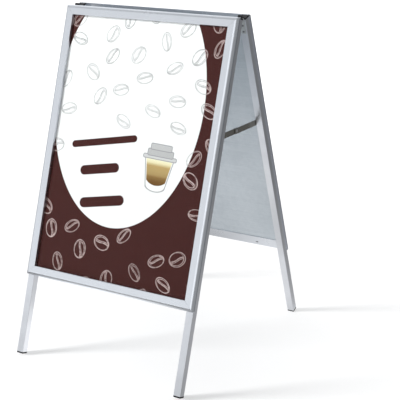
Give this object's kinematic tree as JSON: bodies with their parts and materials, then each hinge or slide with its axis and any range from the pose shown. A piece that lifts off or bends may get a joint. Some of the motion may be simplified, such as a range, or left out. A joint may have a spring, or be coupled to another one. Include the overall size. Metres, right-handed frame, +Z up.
{
  "type": "sandwich board",
  "caption": "Free-standing folding pavement sign with a poster snap frame on each side, tube legs, top hinges and folding side stays.",
  "frame": {"origin": "on the floor, midway between the four feet", "axes": "+Z up, +Y towards the rear panel, +X along the hinge axis to the right of someone who reads the front panel"},
  "size_m": [0.6376, 0.7792, 1.0962],
  "materials": {
    "anodised_aluminium": "matt silver anodised extrusion",
    "leg_aluminium": "satin silver anodised tube",
    "galvanised_steel": "galvanised sheet with faint rolling lines",
    "zinc_steel": "bright zinc plated",
    "stay_steel": "bright rolled flat bar",
    "spring_steel": "polished spring strip",
    "rivet_aluminium": "bright drawn rivet",
    "black_plastic": "fine grained moulded polyethylene",
    "poster_print": "printed satin paper",
    "clear_film": "clear anti-glare film"
  },
  "bodies": {
    "front_panel": {"front_back_sheet": "galvanised_steel", "front_base_rail_bottom": "anodised_aluminium", "front_base_rail_left": "anodised_aluminium", "front_base_rail_right": "anodised_aluminium", "front_base_rail_top": "anodised_aluminium", "front_clear_film": "clear_film", "front_corner_keys": "zinc_steel", "front_foot_cap_left": "black_plastic", "front_foot_cap_right": "black_plastic", "front_frame_rivets": "rivet_aluminium", "front_hinge_leaves": "zinc_steel", "front_hinge_rivets": "rivet_aluminium", "front_leg_left": "leg_aluminium", "front_leg_right": "leg_aluminium", "front_poster": "poster_print", "front_snap_springs": "spring_steel", "front_stay_rivets": "rivet_aluminium", "front_stay_washers": "black_plastic", "front_top_caps": "black_plastic", "hinge_pins": "zinc_steel"},
    "rear_panel": {"rear_back_sheet": "galvanised_steel", "rear_base_rail_bottom": "anodised_aluminium", "rear_base_rail_left": "anodised_aluminium", "rear_base_rail_right": "anodised_aluminium", "rear_base_rail_top": "anodised_aluminium", "rear_clear_film": "clear_film", "rear_corner_keys": "zinc_steel", "rear_foot_cap_left": "black_plastic", "rear_foot_cap_right": "black_plastic", "rear_frame_rivets": "rivet_aluminium", "rear_hinge_leaves": "zinc_steel", "rear_hinge_rivets": "rivet_aluminium", "rear_leg_left": "leg_aluminium", "rear_leg_right": "leg_aluminium", "rear_poster": "poster_print", "rear_snap_springs": "spring_steel", "rear_stay_rivets": "rivet_aluminium", "rear_stay_washers": "black_plastic", "rear_top_caps": "black_plastic"},
    "front_snap_bottom": {"front_snap_rail_bottom": "anodised_aluminium"},
    "front_snap_right": {"front_snap_rail_right": "anodised_aluminium"},
    "front_snap_top": {"front_snap_rail_top": "anodised_aluminium"},
    "front_snap_left": {"front_snap_rail_left": "anodised_aluminium"},
    "rear_snap_bottom": {"rear_snap_rail_bottom": "anodised_aluminium"},
    "rear_snap_left": {"rear_snap_rail_left": "anodised_aluminium"},
    "rear_snap_top": {"rear_snap_rail_top": "anodised_aluminium"},
    "rear_snap_right": {"rear_snap_rail_right": "anodised_aluminium"},
    "front_stay_right": {"front_stay_bar_right": "stay_steel", "front_stay_middle_rivet_right": "rivet_aluminium"},
    "front_stay_left": {"front_stay_bar_left": "stay_steel", "front_stay_middle_rivet_left": "rivet_aluminium"},
    "rear_stay_right": {"rear_stay_bar_right": "stay_steel", "rear_stay_middle_rivet_right": "rivet_aluminium"},
    "rear_stay_left": {"rear_stay_bar_left": "stay_steel", "rear_stay_middle_rivet_left": "rivet_aluminium"}
  },
  "joints": [
    {"name": "fold", "type": "hinge", "parent": "front_panel", "child": "rear_panel", "pos_m": [0, 0, 1.09238], "axis": [-1, 0, 0], "range_deg": [0, 36.8]},
    {"name": "front_snap_bottom_hinge", "type": "hinge", "parent": "front_panel", "child": "front_snap_bottom", "pos_m": [0, -0.31074, 0.25872], "axis": [1, 0, 0], "range_deg": [0, 90]},
    {"name": "front_snap_right_hinge", "type": "hinge", "parent": "front_panel", "child": "front_snap_right", "pos_m": [0.31543, -0.17205, 0.67517], "axis": [0, 0.316, 0.9488], "range_deg": [0, 90]},
    {"name": "front_snap_top_hinge", "type": "hinge", "parent": "front_panel", "child": "front_snap_top", "pos_m": [0, -0.03335, 1.09161], "axis": [-1, 0, 0], "range_deg": [0, 90]},
    {"name": "front_snap_left_hinge", "type": "hinge", "parent": "front_panel", "child": "front_snap_left", "pos_m": [-0.31543, -0.17205, 0.67517], "axis": [0, -0.316, -0.9488], "range_deg": [0, 90]},
    {"name": "rear_snap_bottom_hinge", "type": "hinge", "parent": "rear_panel", "child": "rear_snap_bottom", "pos_m": [0, 0.31074, 0.25872], "axis": [-1, 0, 0], "range_deg": [0, 90]},
    {"name": "rear_snap_left_hinge", "type": "hinge", "parent": "rear_panel", "child": "rear_snap_left", "pos_m": [-0.31543, 0.17205, 0.67517], "axis": [0, -0.316, 0.9488], "range_deg": [0, 90]},
    {"name": "rear_snap_top_hinge", "type": "hinge", "parent": "rear_panel", "child": "rear_snap_top", "pos_m": [0, 0.03335, 1.09161], "axis": [1, 0, 0], "range_deg": [0, 90]},
    {"name": "rear_snap_right_hinge", "type": "hinge", "parent": "rear_panel", "child": "rear_snap_right", "pos_m": [0.31543, 0.17205, 0.67517], "axis": [0, 0.316, -0.9488], "range_deg": [0, 90]},
    {"name": "front_stay_right_pivot", "type": "hinge", "parent": "front_panel", "child": "front_stay_right", "pos_m": [0.2873, -0.13367, 0.74007], "axis": [1, 0, 0], "range_deg": [0, 65]},
    {"name": "front_stay_left_pivot", "type": "hinge", "parent": "front_panel", "child": "front_stay_left", "pos_m": [-0.2873, -0.13367, 0.74007], "axis": [1, 0, 0], "range_deg": [0, 65]},
    {"name": "rear_stay_right_pivot", "type": "hinge", "parent": "rear_panel", "child": "rear_stay_right", "pos_m": [0.2897, 0.13367, 0.74007], "axis": [-1, 0, 0], "range_deg": [0, 65]},
    {"name": "rear_stay_left_pivot", "type": "hinge", "parent": "rear_panel", "child": "rear_stay_left", "pos_m": [-0.2897, 0.13367, 0.74007], "axis": [-1, 0, 0], "range_deg": [0, 65]}
  ],
  "couplings": [
    {"joint": "front_stay_right_pivot", "follows": "fold", "ratio": 1.7622},
    {"joint": "front_stay_left_pivot", "follows": "fold", "ratio": 1.7622},
    {"joint": "rear_stay_right_pivot", "follows": "fold", "ratio": 1.7622},
    {"joint": "rear_stay_left_pivot", "follows": "fold", "ratio": 1.7622}
  ]
}
